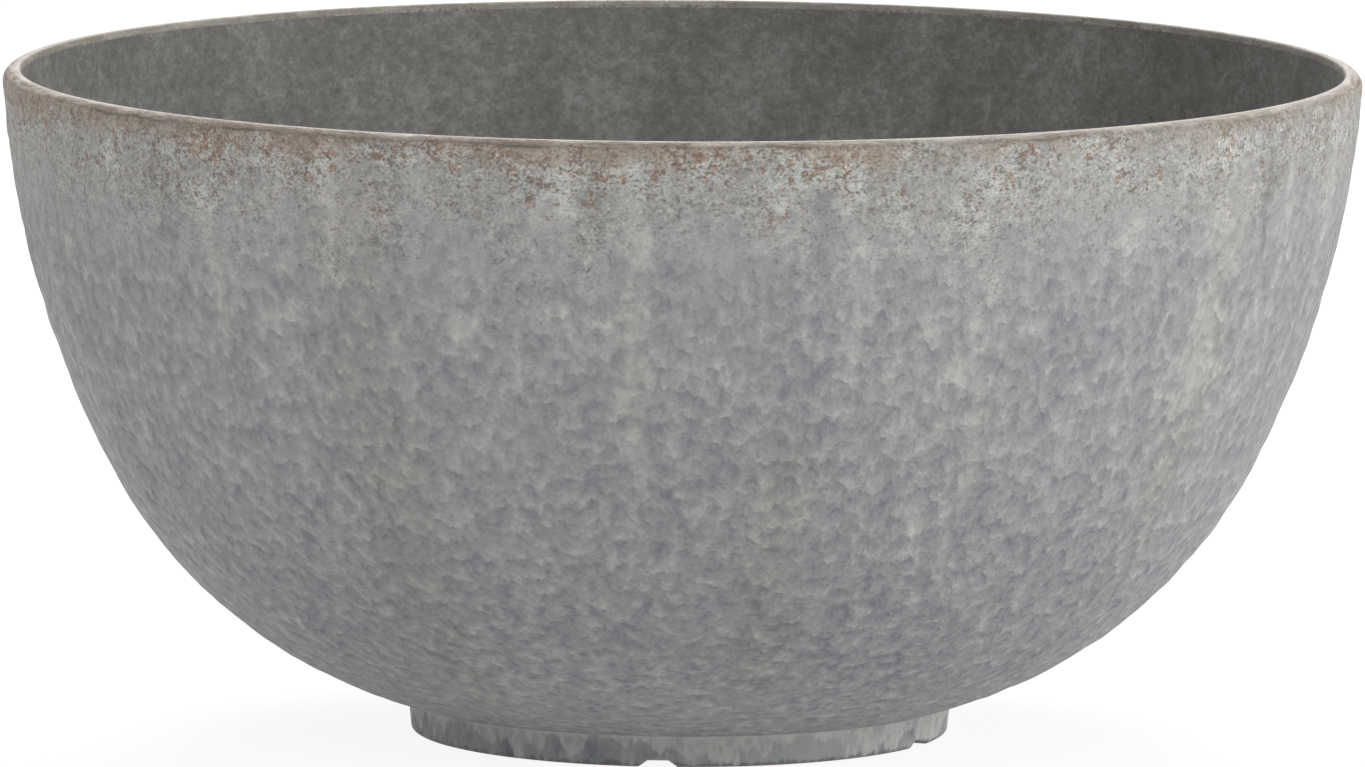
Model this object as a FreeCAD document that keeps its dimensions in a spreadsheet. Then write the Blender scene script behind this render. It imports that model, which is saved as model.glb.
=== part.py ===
"""Bowl planter: moulded bowl on a notched foot ring, with a lift-out drainage plate and a drain plug.

Millimetres. The origin is the centre of the foot's underside, +Z is up and -Y is the front.
"""
import FreeCAD, Part
import os
import Sketcher

doc = FreeCAD.newDocument("BowlPlanter")

# Driving dimensions: alias, value in millimetres, degrees or a count
SIZES = [
    # bowl
    ("rim_diameter", 310.0),
    ("bowl_height", 152.0),
    ("wall_thickness", 4.3),
    ("lip_inner_round", 0.6),
    ("lip_land", 0.5),
    ("wall_draft", 3.9),
    ("belly_break", 27.4),
    ("belly_slope", 75.4),
    ("foot_diameter", 124.0),
    ("foot_height", 7.0),
    ("foot_taper", 0.6),
    ("foot_edge_round", 1.0),
    ("foot_ring_width", 8.0),
    ("foot_recess", 4.8),
    ("floor_thickness", 4.6),
    ("drain_diameter", 18.0),
    ("notch_count", 5),
    ("notch_width", 9.2),
    ("notch_crown", 4.8),
    ("notch_height", 1.5),
    ("notch_turn", -4.5),
    ("notch_pitch", 68.0),
    # drainage plate
    ("reservoir_depth", 20.0),
    ("plate_thickness", 2.4),
    ("plate_gap", 0.8),
    ("finger_hole_diameter", 36.0),
    ("collar_thickness", 2.0),
    ("skirt_thickness", 2.0),
    ("rib_depth", 4.0),
    ("rib_thickness", 2.0),
    ("rib_count", 8),
    ("hole_diameter", 5.0),
    ("hole_margin", 3.0),
    ("holes_per_bay_inner", 2),
    ("holes_per_bay_middle", 2),
    ("holes_per_bay_outer", 3),
    # wick cups
    ("cup_count", 4),
    ("cup_spacing", 3.0),
    ("cup_base_diameter", 20.0),
    ("cup_neck_diameter", 23.0),
    ("cup_flange_width", 2.0),
    ("cup_flange_thickness", 2.0),
    ("cup_wall", 1.6),
    ("cup_turn", 22.5),
    ("socket_clearance", 0.05),
    ("slot_count", 6),
    ("slot_width", 2.6),
    ("slot_sill", 3.0),
    ("slot_height", 11.0),
    # drain plug and its seal
    ("plug_clearance", 0.06),
    ("plug_inset", 0.5),
    ("plug_lead", 0.8),
    ("plug_flange_diameter", 29.0),
    ("plug_flange_thickness", 2.4),
    ("seal_thickness", 1.6),
    ("seal_inset", 0.8),
    ("knob_diameter", 15.0),
    ("knob_neck_diameter", 8.0),
    ("knob_neck_height", 4.5),
    ("knob_thickness", 3.0),
    ("knob_round", 1.0),
]

# Worked-out sizes: alias and formula; the wall's two arcs are solved from the rim, the foot and three slopes
FORMULAS = [
    ("rim_radius", "rim_diameter / 2"),
    ("foot_radius", "foot_diameter / 2"),
    ("lip_outer_round", "wall_thickness - lip_inner_round - lip_land"),
    ("draft_cos", "cos(wall_draft)"),
    ("draft_sin", "sin(wall_draft)"),
    ("break_cos", "cos(belly_break)"),
    ("break_sin", "sin(belly_break)"),
    ("slope_cos", "cos(belly_slope)"),
    ("slope_sin", "sin(belly_slope)"),
    # outer wall, from the lip down to the foot
    ("lip_crest_r", "rim_radius - lip_outer_round"),
    ("lip_crest_z", "bowl_height"),
    ("wall_top_r", "lip_crest_r + lip_outer_round * draft_cos"),
    ("wall_top_z", "bowl_height - lip_outer_round * (1 + draft_sin)"),
    ("run_r", "foot_radius - wall_top_r"),
    ("run_z", "foot_height - wall_top_z"),
    ("upper_chord_r", "break_cos - draft_cos"),
    ("upper_chord_z", "draft_sin - break_sin"),
    ("lower_chord_r", "slope_cos - break_cos"),
    ("lower_chord_z", "break_sin - slope_sin"),
    ("chord_cross", "upper_chord_r * lower_chord_z - upper_chord_z * lower_chord_r"),
    ("upper_curve", "(run_r * lower_chord_z - run_z * lower_chord_r) / chord_cross"),
    ("lower_curve", "(upper_chord_r * run_z - upper_chord_z * run_r) / chord_cross"),
    ("upper_centre_r", "wall_top_r - upper_curve * draft_cos"),
    ("upper_centre_z", "wall_top_z + upper_curve * draft_sin"),
    ("lower_centre_r", "foot_radius - lower_curve * slope_cos"),
    ("lower_centre_z", "foot_height + lower_curve * slope_sin"),
    ("belly_r", "upper_centre_r + upper_curve * break_cos"),
    ("belly_z", "upper_centre_z - upper_curve * break_sin"),
    # foot ring and drain hole
    ("foot_top_r", "foot_radius"),
    ("foot_top_z", "foot_height"),
    ("foot_side_r", "foot_radius - foot_taper"),
    ("foot_side_z", "foot_edge_round"),
    ("foot_base_r", "foot_side_r - foot_edge_round"),
    ("foot_inside_r", "foot_radius - foot_ring_width"),
    ("recess_r", "foot_inside_r"),
    ("recess_z", "foot_recess"),
    ("drain_radius", "drain_diameter / 2"),
    ("drain_low_r", "drain_radius"),
    ("drain_low_z", "foot_recess"),
    # inner wall, one wall thickness inside the outer arcs; the floor meets it at or above its lowest point
    ("upper_inner", "upper_curve - wall_thickness"),
    ("lower_inner", "lower_curve - wall_thickness"),
    ("floor_z", "max(foot_recess + floor_thickness; lower_centre_z - lower_inner)"),
    ("drain_high_r", "drain_radius"),
    ("drain_high_z", "floor_z"),
    ("floor_edge_r", "lower_centre_r + sqrt(max(lower_inner ^ 2 - (lower_centre_z - floor_z) ^ 2; 0))"),
    ("floor_edge_z", "floor_z"),
    ("inner_belly_r", "upper_centre_r + upper_inner * break_cos"),
    ("inner_belly_z", "upper_centre_z - upper_inner * break_sin"),
    ("nose_z", "bowl_height - lip_inner_round"),
    ("nose_reach", "upper_inner + lip_inner_round"),
    ("nose_r", "upper_centre_r + sqrt(nose_reach ^ 2 - (nose_z - upper_centre_z) ^ 2)"),
    ("inner_top_r", "upper_centre_r + (nose_r - upper_centre_r) * upper_inner / nose_reach"),
    ("inner_top_z", "upper_centre_z + (nose_z - upper_centre_z) * upper_inner / nose_reach"),
    ("inner_crest_r", "nose_r"),
    ("inner_crest_z", "bowl_height"),
    # drainage plate, a gap inside the wall at each height
    ("plate_low", "floor_z + reservoir_depth"),
    ("plate_high", "plate_low + plate_thickness"),
    ("skirt_low", "plate_low - rib_depth"),
    ("finger_radius", "finger_hole_diameter / 2"),
    ("finger_top_r", "finger_radius"),
    ("finger_top_z", "plate_high"),
    ("edge_high_r", "lower_centre_r + sqrt(lower_inner ^ 2 - (lower_centre_z - plate_high) ^ 2) - plate_gap"),
    ("edge_high_z", "plate_high"),
    ("edge_low_r", "lower_centre_r + sqrt(lower_inner ^ 2 - (lower_centre_z - plate_low) ^ 2) - plate_gap"),
    ("edge_low_z", "plate_low"),
    ("skirt_out_low_r", "lower_centre_r + sqrt(lower_inner ^ 2 - (lower_centre_z - skirt_low) ^ 2) - plate_gap"),
    ("skirt_out_low_z", "skirt_low"),
    ("skirt_out_high_r", "skirt_out_low_r"),
    ("skirt_out_high_z", "plate_low"),
    ("skirt_in_low_r", "skirt_out_low_r - skirt_thickness"),
    ("skirt_in_low_z", "skirt_low"),
    ("skirt_in_high_r", "skirt_in_low_r"),
    ("skirt_in_high_z", "plate_low"),
    ("collar_high_r", "finger_radius + collar_thickness"),
    ("collar_high_z", "plate_low"),
    ("collar_low_r", "collar_high_r"),
    ("collar_low_z", "skirt_low"),
    ("finger_low_r", "finger_radius"),
    ("finger_low_z", "skirt_low"),
    # wick cups round the finger hole's collar, heights from the cup's own base
    ("cup_base_r", "cup_base_diameter / 2"),
    ("cup_neck_r", "cup_neck_diameter / 2"),
    ("cup_flange_r", "cup_neck_r + cup_flange_width"),
    ("cup_circle", "collar_high_r + cup_spacing + cup_flange_r"),
    ("cup_under_r", "cup_neck_r"),
    ("cup_under_z", "reservoir_depth - cup_flange_thickness"),
    ("cup_flange_low_r", "cup_flange_r"),
    ("cup_flange_low_z", "cup_under_z"),
    ("cup_flange_high_r", "cup_flange_r"),
    ("cup_flange_high_z", "reservoir_depth"),
    ("cup_neck_low_r", "cup_neck_r"),
    ("cup_neck_low_z", "reservoir_depth"),
    ("cup_mouth_r", "cup_neck_r"),
    ("cup_mouth_z", "reservoir_depth + plate_thickness"),
    ("cup_inside_high_r", "cup_neck_r - cup_wall"),
    ("cup_inside_high_z", "cup_mouth_z"),
    ("cup_inside_low_r", "cup_base_r - cup_wall"),
    ("cup_inside_low_z", "cup_wall"),
    ("cup_sole_z", "cup_wall"),
    ("socket_radius", "cup_neck_r + socket_clearance"),
    # holes and ribs between the cups and the plate's skirt
    ("rib_start", "cup_circle + cup_flange_r + cup_spacing"),
    ("rib_end", "skirt_in_low_r + skirt_thickness / 2"),
    ("hole_radius", "hole_diameter / 2"),
    ("hole_ring_inner", "rib_start + hole_radius"),
    ("hole_ring_outer", "skirt_in_low_r - hole_margin - hole_radius"),
    ("hole_ring_middle", "(hole_ring_inner + hole_ring_outer) / 2"),
    ("hole_count_inner", "rib_count * holes_per_bay_inner"),
    ("hole_count_middle", "rib_count * holes_per_bay_middle"),
    ("hole_count_outer", "rib_count * holes_per_bay_outer"),
    # plug through the drain hole, its flange on the seal and the seal on the floor
    ("stem_r", "drain_radius - plug_clearance"),
    ("stem_low_z", "foot_recess + plug_inset"),
    ("stem_tip_r", "stem_r - plug_lead"),
    ("stem_tip_z", "stem_low_z"),
    ("stem_lead_r", "stem_r"),
    ("stem_lead_z", "stem_low_z + plug_lead"),
    ("seal_high", "floor_z + seal_thickness"),
    ("stem_high_r", "stem_r"),
    ("stem_high_z", "seal_high"),
    ("plug_flange_r", "plug_flange_diameter / 2"),
    ("plug_flange_low_r", "plug_flange_r"),
    ("plug_flange_low_z", "seal_high"),
    ("plug_flange_high_r", "plug_flange_r"),
    ("plug_flange_high_z", "seal_high + plug_flange_thickness"),
    ("knob_neck_low_r", "knob_neck_diameter / 2"),
    ("knob_neck_low_z", "plug_flange_high_z"),
    ("knob_neck_high_r", "knob_neck_low_r"),
    ("knob_neck_high_z", "plug_flange_high_z + knob_neck_height"),
    ("knob_low_r", "knob_diameter / 2"),
    ("knob_low_z", "knob_neck_high_z"),
    ("knob_side_r", "knob_low_r"),
    ("knob_side_z", "knob_low_z + knob_thickness - knob_round"),
    ("knob_crown_r", "knob_low_r - knob_round"),
    ("knob_crown_z", "knob_low_z + knob_thickness"),
    ("knob_axis_z", "knob_crown_z"),
    ("seal_in_low_r", "stem_r + plug_clearance"),
    ("seal_in_low_z", "floor_z"),
    ("seal_out_low_r", "plug_flange_r - seal_inset"),
    ("seal_out_low_z", "floor_z"),
    ("seal_out_high_r", "seal_out_low_r"),
    ("seal_out_high_z", "seal_high"),
    ("seal_in_high_r", "seal_in_low_r"),
    ("seal_in_high_z", "seal_high"),
]

sheet = doc.addObject("Spreadsheet::Sheet", "Sizes")
for row, (alias, entry) in enumerate(SIZES + FORMULAS, start=1):
    sheet.set("A%d" % row, alias)
    sheet.set("B%d" % row, str(entry) if row <= len(SIZES) else "=" + entry)
    sheet.setAlias("B%d" % row, alias)
doc.recompute()
ALIASES = {alias for alias, entry in SIZES + FORMULAS}


def size(alias):
    """Value of one cell of the sheet."""
    return float(sheet.get(alias))


def new_body(label):
    """Empty body whose label is the sub-part's name."""
    body = doc.addObject("PartDesign::Body", label)
    body.Label = label
    return body


def origin_feature(body, role):
    """Origin plane or axis of a body."""
    return next(feature for feature in body.Origin.OriginFeatures if feature.Role == role)


def new_sketch(body, name, plane):
    """Sketch on one of the body's own origin planes."""
    sketch = body.newObject("Sketcher::SketchObject", name)
    sketch.AttachmentSupport = [(origin_feature(body, plane), "")]
    sketch.MapMode = "FlatFace"
    return sketch


def bind(sketch, constraint, name, expression):
    """Add a dimension to a sketch and tie it to the sheet."""
    index = sketch.addConstraint(constraint)
    sketch.renameConstraint(index, name)
    sketch.setExpression("Constraints." + name, expression)


def arc_through(start, end, radius, side):
    """Arc of a radius that bulges to the left (side 1) or right (side -1) of the way from start to end.

    A sketch keeps its arcs counter-clockwise, so an arc that bulges left is drawn from its end.
    """
    chord = end - start
    half = chord.Length / 2
    rise = radius - (radius ** 2 - half ** 2) ** 0.5
    left = FreeCAD.Vector(-chord.y, chord.x, 0).normalize()
    middle = (start + end) / 2 + left * (side * rise)
    if side > 0:
        return Part.Arc(end, middle, start)
    return Part.Arc(start, middle, end)


def outline(body, name, corners, arcs=None):
    """Closed outline of revolution on the XZ plane.

    A corner called NAME stands at the cells NAME_r and NAME_z; a missing cell puts it on that axis.
    arcs maps the corner that an arc starts from to the cell of its radius and its side.
    """
    arcs = arcs or {}
    sketch = new_sketch(body, name, "XZ_Plane")
    spots = []
    for corner in corners:
        across = size(corner + "_r") if corner + "_r" in ALIASES else 0.0
        up = size(corner + "_z") if corner + "_z" in ALIASES else 0.0
        spots.append(FreeCAD.Vector(across, up, 0))
    starts = []
    ends = []
    for number, corner in enumerate(corners):
        start = spots[number]
        end = spots[(number + 1) % len(spots)]
        if corner in arcs:
            radius, side = arcs[corner]
            edge = sketch.addGeometry(arc_through(start, end, size(radius), side))
            swapped = side > 0
            bind(sketch, Sketcher.Constraint("Radius", edge, size(radius)), corner + "_arc", "Sizes." + radius)
        else:
            edge = sketch.addGeometry(Part.LineSegment(start, end))
            swapped = False
        starts.append((edge, 2 if swapped else 1))
        ends.append((edge, 1 if swapped else 2))
    for number, corner in enumerate(corners):
        sketch.addConstraint(Sketcher.Constraint("Coincident", *ends[number - 1], *starts[number]))
        for kind, cell, axis, place in (("DistanceX", corner + "_r", -2, spots[number].x),
                                        ("DistanceY", corner + "_z", -1, spots[number].y)):
            if cell in ALIASES:
                bind(sketch, Sketcher.Constraint(kind, -1, 1, *starts[number], place), cell, "Sizes." + cell)
            else:
                sketch.addConstraint(Sketcher.Constraint("PointOnObject", *starts[number], axis))
    return sketch


def revolve(body, name, sketch):
    """Full turn of an outline about the vertical axis."""
    turn = body.newObject("PartDesign::Revolution", name)
    turn.Profile = sketch
    turn.ReferenceAxis = (sketch, ["V_Axis"])
    turn.Angle = 360
    sketch.Visibility = False
    return turn


def rectangle(body, name, plane, left, right, low, high):
    """Rectangle on an origin plane, its four sides given as expressions of the sheet."""
    sketch = new_sketch(body, name, plane)
    spots = [FreeCAD.Vector(x, y, 0) for x, y in ((1, 1), (2, 1), (2, 2), (1, 2))]
    for number in range(4):
        sketch.addGeometry(Part.LineSegment(spots[number], spots[(number + 1) % 4]))
    for number in range(4):
        sketch.addConstraint(Sketcher.Constraint("Coincident", number - 1 if number else 3, 2, number, 1))
        sketch.addConstraint(Sketcher.Constraint("Vertical" if number % 2 else "Horizontal", number))
    bind(sketch, Sketcher.Constraint("DistanceX", -1, 1, 0, 1, 1.0), "left", left)
    bind(sketch, Sketcher.Constraint("DistanceX", -1, 1, 0, 2, 2.0), "right", right)
    bind(sketch, Sketcher.Constraint("DistanceY", -1, 1, 0, 1, 1.0), "low", low)
    bind(sketch, Sketcher.Constraint("DistanceY", -1, 1, 2, 1, 2.0), "high", high)
    return sketch


def circle(body, name, radius, across, along):
    """Circle on the XY plane, its radius and centre given as expressions of the sheet."""
    sketch = new_sketch(body, name, "XY_Plane")
    sketch.addGeometry(Part.Circle(FreeCAD.Vector(1, 1, 0), FreeCAD.Vector(0, 0, 1), 1))
    bind(sketch, Sketcher.Constraint("Radius", 0, 1.0), "radius", radius)
    bind(sketch, Sketcher.Constraint("DistanceX", -1, 1, 0, 3, 1.0), "across", across)
    bind(sketch, Sketcher.Constraint("DistanceY", -1, 1, 0, 3, 1.0), "along", along)
    return sketch


def pocket(body, name, sketch, depth, reverse):
    """Cut as deep as an expression of the sheet says; it has to take material away."""
    doc.recompute()
    before = body.Shape.Volume
    cut = body.newObject("PartDesign::Pocket", name)
    cut.Profile = sketch
    cut.Type = "Length"
    cut.setExpression("Length", depth)
    cut.Reversed = reverse
    doc.recompute()
    if body.Shape.Volume >= before:
        raise RuntimeError(name + " cuts nothing")
    return cut


def around(body, name, feature, count):
    """Copies of a feature, evenly spaced about the vertical axis."""
    pattern = body.newObject("PartDesign::PolarPattern", name)
    pattern.Originals = [feature]
    pattern.Axis = (origin_feature(body, "Z_Axis"), [""])
    pattern.Angle = 360
    pattern.setExpression("Occurrences", "Sizes." + count)
    body.Tip = pattern
    return pattern


def make_bowl():
    """One moulding: rounded lip, wall of two tangent arcs, foot ring with drain notches, floor with drain hole."""
    body = new_body("bowl_shell")
    corners = ["lip_crest", "wall_top", "belly", "foot_top", "foot_side", "foot_base", "foot_inside", "recess",
               "drain_low", "drain_high", "floor_edge", "inner_belly", "inner_top", "inner_crest"]
    arcs = {
        "lip_crest": ("lip_outer_round", 1),
        "wall_top": ("upper_curve", 1),
        "belly": ("lower_curve", 1),
        "foot_side": ("foot_edge_round", 1),
        "floor_edge": ("lower_inner", -1),
        "inner_belly": ("upper_inner", -1),
        "inner_top": ("lip_inner_round", 1),
    }
    revolve(body, "bowl_wall", outline(body, "bowl_outline", corners, arcs))

    # the first notch faces the front, turned a few degrees; its copies leave one wider gap at the left
    notch = new_sketch(body, "notch_outline", "XZ_Plane")
    spots = [FreeCAD.Vector(x, y, 0) for x, y in ((-4, 0), (4, 0), (3, 2), (-3, 2))]
    for number in range(4):
        notch.addGeometry(Part.LineSegment(spots[number], spots[(number + 1) % 4]))
    for number in range(4):
        notch.addConstraint(Sketcher.Constraint("Coincident", number - 1 if number else 3, 2, number, 1))
    notch.addConstraint(Sketcher.Constraint("PointOnObject", 0, 1, -1))
    notch.addConstraint(Sketcher.Constraint("Symmetric", 0, 1, 0, 2, -2))
    notch.addConstraint(Sketcher.Constraint("Symmetric", 2, 1, 2, 2, -2))
    bind(notch, Sketcher.Constraint("DistanceX", 0, 1, 0, 2, 8.0), "width", "Sizes.notch_width")
    bind(notch, Sketcher.Constraint("DistanceX", 2, 2, 2, 1, 6.0), "crown", "Sizes.notch_crown")
    bind(notch, Sketcher.Constraint("DistanceY", -1, 1, 2, 1, 2.0), "height", "Sizes.notch_height")
    notch.AttachmentOffset = FreeCAD.Placement(FreeCAD.Vector(), FreeCAD.Rotation(FreeCAD.Vector(0, 1, 0), 1))
    notch.setExpression("AttachmentOffset.Rotation.Angle", "Sizes.notch_turn")
    cut = pocket(body, "drain_notch", notch, "Sizes.foot_radius + Sizes.foot_ring_width", True)
    notches = around(body, "drain_notches", cut, "notch_count")
    notches.setExpression("Angle", "Sizes.notch_pitch * (Sizes.notch_count - 1)")
    return body


def make_plate():
    """Lift-out false floor: disc with a finger hole, skirt, ribs, drain holes and a socket for each cup."""
    body = new_body("drainage_plate")
    corners = ["finger_top", "finger_low", "collar_low", "collar_high", "skirt_in_high", "skirt_in_low",
               "skirt_out_low", "skirt_out_high", "edge_low", "edge_high"]
    revolve(body, "plate_disc", outline(body, "plate_outline", corners))

    half = "Sizes.rib_thickness / 2"
    rib_sketch = rectangle(body, "rib_outline", "XY_Plane", "Sizes.rib_start", "Sizes.rib_end", "-" + half, half)
    rib_sketch.setExpression("AttachmentOffset.Base.z", "Sizes.skirt_low")
    rib = body.newObject("PartDesign::Pad", "rib")
    rib.Profile = rib_sketch
    rib.Type = "Length"
    rib.setExpression("Length", "Sizes.rib_depth + Sizes.plate_thickness / 2")
    around(body, "ribs", rib, "rib_count")

    across = "Sizes.cup_circle * cos(Sizes.cup_turn)"
    along = "Sizes.cup_circle * sin(Sizes.cup_turn)"
    socket_sketch = circle(body, "socket_outline", "Sizes.socket_radius", across, along)
    socket = pocket(body, "cup_socket", socket_sketch, "Sizes.plate_high + Sizes.rib_depth", True)
    around(body, "cup_sockets", socket, "cup_count")

    for ring in ("inner", "middle", "outer"):
        count = "hole_count_" + ring
        reach = "Sizes.hole_ring_" + ring
        across = "%s * cos(180 / Sizes.%s)" % (reach, count)
        along = "%s * sin(180 / Sizes.%s)" % (reach, count)
        hole_sketch = circle(body, "hole_outline_" + ring, "Sizes.hole_radius", across, along)
        hole = pocket(body, "drain_hole_" + ring, hole_sketch, "Sizes.plate_high + Sizes.rib_depth", True)
        around(body, "drain_holes_" + ring, hole, count)
    return body


def make_cup(number):
    """Slotted wick cup: stands on the floor, carries the plate on its flange, its neck is in the plate's socket."""
    body = new_body("wick_cup_%d" % number)
    corners = ["cup_axis", "cup_base", "cup_under", "cup_flange_low", "cup_flange_high", "cup_neck_low",
               "cup_mouth", "cup_inside_high", "cup_inside_low", "cup_sole"]
    revolve(body, "cup_wall_%d" % number, outline(body, "cup_outline_%d" % number, corners))
    half = "Sizes.slot_width / 2"
    slot_sketch = rectangle(body, "slot_outline_%d" % number, "XZ_Plane", "-" + half, half,
                            "Sizes.slot_sill", "Sizes.slot_sill + Sizes.slot_height")
    slot = pocket(body, "slot_%d" % number, slot_sketch, "Sizes.cup_flange_r", True)
    around(body, "slots_%d" % number, slot, "slot_count")
    angle = "(Sizes.cup_turn + 360 / Sizes.cup_count * %d)" % (number - 1)
    body.setExpression("Placement.Base.x", "Sizes.cup_circle * cos%s" % angle)
    body.setExpression("Placement.Base.y", "Sizes.cup_circle * sin%s" % angle)
    body.setExpression("Placement.Base.z", "Sizes.floor_z")
    return body


def make_plug():
    """Drain plug: stem in the drain hole, flange that presses on the seal, knob to pull it by."""
    body = new_body("drain_plug")
    corners = ["stem_low", "stem_tip", "stem_lead", "stem_high", "plug_flange_low", "plug_flange_high",
               "knob_neck_low", "knob_neck_high", "knob_low", "knob_side", "knob_crown", "knob_axis"]
    revolve(body, "plug_turned", outline(body, "plug_outline", corners, {"knob_side": ("knob_round", -1)}))
    return body


def make_seal():
    """Flat sealing ring between the plug's flange and the floor."""
    body = new_body("plug_seal")
    corners = ["seal_in_low", "seal_out_low", "seal_out_high", "seal_in_high"]
    revolve(body, "seal_ring", outline(body, "seal_outline", corners))
    return body


sub_parts = [make_bowl(), make_plate()]
for cup_number in range(1, int(size("cup_count")) + 1):
    sub_parts.append(make_cup(cup_number))
sub_parts += [make_plug(), make_seal()]
doc.recompute()

for item in doc.Objects:
    if "Invalid" in item.State or "Error" in item.State:
        raise RuntimeError("%s failed: %s" % (item.Label, item.State))
for part in sub_parts:
    if part.Shape.isNull() or not part.Shape.isValid():
        raise RuntimeError(part.Label + " has no valid shape")

os.makedirs("parts", exist_ok=True)
for part in sub_parts:
    part.Shape.exportStep("parts/%s.step" % part.Label)
    print("%s: %d solid, %.1f cubic cm" % (part.Label, len(part.Shape.Solids), part.Shape.Volume / 1000))
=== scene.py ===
# %% [markdown]
# # A weathered bowl planter
# A round bowl of stone composite on a low notched foot, with a lift-out plate over a water reservoir.
# The imported solids give the bowl's scale and every other part as it is. This lesson dresses them: it works
# the bowl's skin out as one smooth surface with a little waviness, and then paints each finish with shader nodes.

# %% Load the imported model
import math

import bpy
import numpy as np
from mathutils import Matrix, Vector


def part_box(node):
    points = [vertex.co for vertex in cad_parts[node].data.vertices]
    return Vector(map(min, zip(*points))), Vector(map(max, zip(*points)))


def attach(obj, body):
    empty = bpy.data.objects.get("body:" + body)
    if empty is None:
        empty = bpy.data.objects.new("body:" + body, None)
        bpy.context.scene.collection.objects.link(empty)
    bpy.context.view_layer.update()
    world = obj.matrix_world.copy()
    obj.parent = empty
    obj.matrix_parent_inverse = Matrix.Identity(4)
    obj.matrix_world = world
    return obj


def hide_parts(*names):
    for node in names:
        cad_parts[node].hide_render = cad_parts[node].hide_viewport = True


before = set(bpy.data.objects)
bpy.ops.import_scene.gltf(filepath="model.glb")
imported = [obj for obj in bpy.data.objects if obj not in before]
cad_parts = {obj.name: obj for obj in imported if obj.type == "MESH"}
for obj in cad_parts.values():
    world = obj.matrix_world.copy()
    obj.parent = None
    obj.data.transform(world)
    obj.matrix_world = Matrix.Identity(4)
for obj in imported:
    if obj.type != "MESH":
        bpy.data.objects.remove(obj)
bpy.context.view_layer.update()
scene = bpy.context.scene
print("nodes:", sorted(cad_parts))

# %% [markdown]
# ## The bowl's section
# A turned bowl is known by one closed line, its section: drain edge, underside, foot, outer wall, lip,
# inner wall and floor. It could be drawn point by point, but the real wall is two arcs that meet
# without a corner. Their slopes at the lip, at the joint and at the foot are known, and so are both
# ends, so the two radii come from one small system of equations. Lengths here are millimetres.

# %% Sizes, and the two arcs of the wall
low_corner, high_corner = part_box("bowl_shell")
RIM_RADIUS, HEIGHT, WALL = 155.0, 152.0, 4.3
FOOT_RADIUS, FOOT_HEIGHT, FOOT_TAPER = 62.0, 7.0, 0.6
LIP_OUT, LIP_IN = 3.2, 0.6
DRAIN_RADIUS, FLOOR, EDGE_ROUND = 9.0, 9.4, 0.6
RECESS_RADIUS, RECESS_HEIGHT, RECESS_ROUND = 54.0, 4.8, 1.4
FOOT_ROUND, JOINT_ROUND = 1.0, 0.8
MEAN_RADIUS = 125.0
SLOPE_TOP, SLOPE_JOINT, SLOPE_FOOT = 3.9, 27.4, 75.4
UNIT = (high_corner.x - low_corner.x) / 2 / RIM_RADIUS  # metres for each millimetre of the section


def facing(slope):
    """Way that a wall faces, (cos a, -sin a), where a is how many degrees it looks down."""
    return np.array([math.cos(math.radians(slope)), -math.sin(math.radians(slope))])


wall_top = np.array([RIM_RADIUS - LIP_OUT, HEIGHT - LIP_OUT]) + LIP_OUT * facing(SLOPE_TOP)
wall_foot = np.array([FOOT_RADIUS, FOOT_HEIGHT])
chords = np.stack([facing(SLOPE_JOINT) - facing(SLOPE_TOP), facing(SLOPE_FOOT) - facing(SLOPE_JOINT)], axis=1)
UPPER_RADIUS, LOWER_RADIUS = np.linalg.solve(chords, wall_foot - wall_top)
UPPER = wall_top - UPPER_RADIUS * facing(SLOPE_TOP)
LOWER = wall_foot - LOWER_RADIUS * facing(SLOPE_FOOT)
print("upper radius", round(UPPER_RADIUS, 2), "mm, lower radius", round(LOWER_RADIUS, 2), "mm")

# %% Where the small roundings sit
def bearing(start, end):
    """Angle in degrees of the way from start to end."""
    return math.degrees(math.atan2(end[1] - start[1], end[0] - start[0]))


foot_slope = math.degrees(math.atan2(FOOT_TAPER, FOOT_HEIGHT - FOOT_ROUND))
from_lower = wall_foot + JOINT_ROUND * facing(foot_slope) - LOWER
up_foot = np.array([math.sin(math.radians(foot_slope)), math.cos(math.radians(foot_slope))])
along_foot = from_lower @ up_foot
slip = along_foot + math.sqrt(along_foot ** 2 - from_lower @ from_lower + (LOWER_RADIUS + JOINT_ROUND) ** 2)
joint_middle = LOWER + from_lower - slip * up_foot
nose_rise = HEIGHT - LIP_IN - UPPER[1]
nose_middle = UPPER + np.array([math.sqrt((UPPER_RADIUS - WALL + LIP_IN) ** 2 - nose_rise ** 2), nose_rise])
floor_angle = -math.degrees(math.asin((LOWER[1] - FLOOR) / (LOWER_RADIUS - WALL)))
print("foot rounding at", np.round(joint_middle, 2), "and inner lip rounding at", np.round(nose_middle, 2))

# %% [markdown]
# Arcs and straight runs of points are then set end to end. Every run says which zone of the bowl it
# belongs to, because each zone gets its own finish. Where two runs share an end, one of the two points
# is dropped.

# %% Arcs and straight runs
def arc(centre, radius, start, end, count):
    """Points of a circle: centre + radius * (cos a, sin a), with a going evenly from start to end degrees."""
    angle = np.radians(np.linspace(start, end, count))
    return np.stack([centre[0] + radius * np.cos(angle), centre[1] + radius * np.sin(angle)], axis=1)


def run(start, end, count):
    """Points of a straight line, start + t * (end - start), with t going evenly from 0 to 1."""
    t = np.linspace(0.0, 1.0, count)[:, None]
    return np.array(start) + t * (np.array(end) - np.array(start))


print("arcs and runs ready; a quarter of the lip is", np.round(arc((0, 0), LIP_OUT, 0, 90, 3), 2).tolist())

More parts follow.
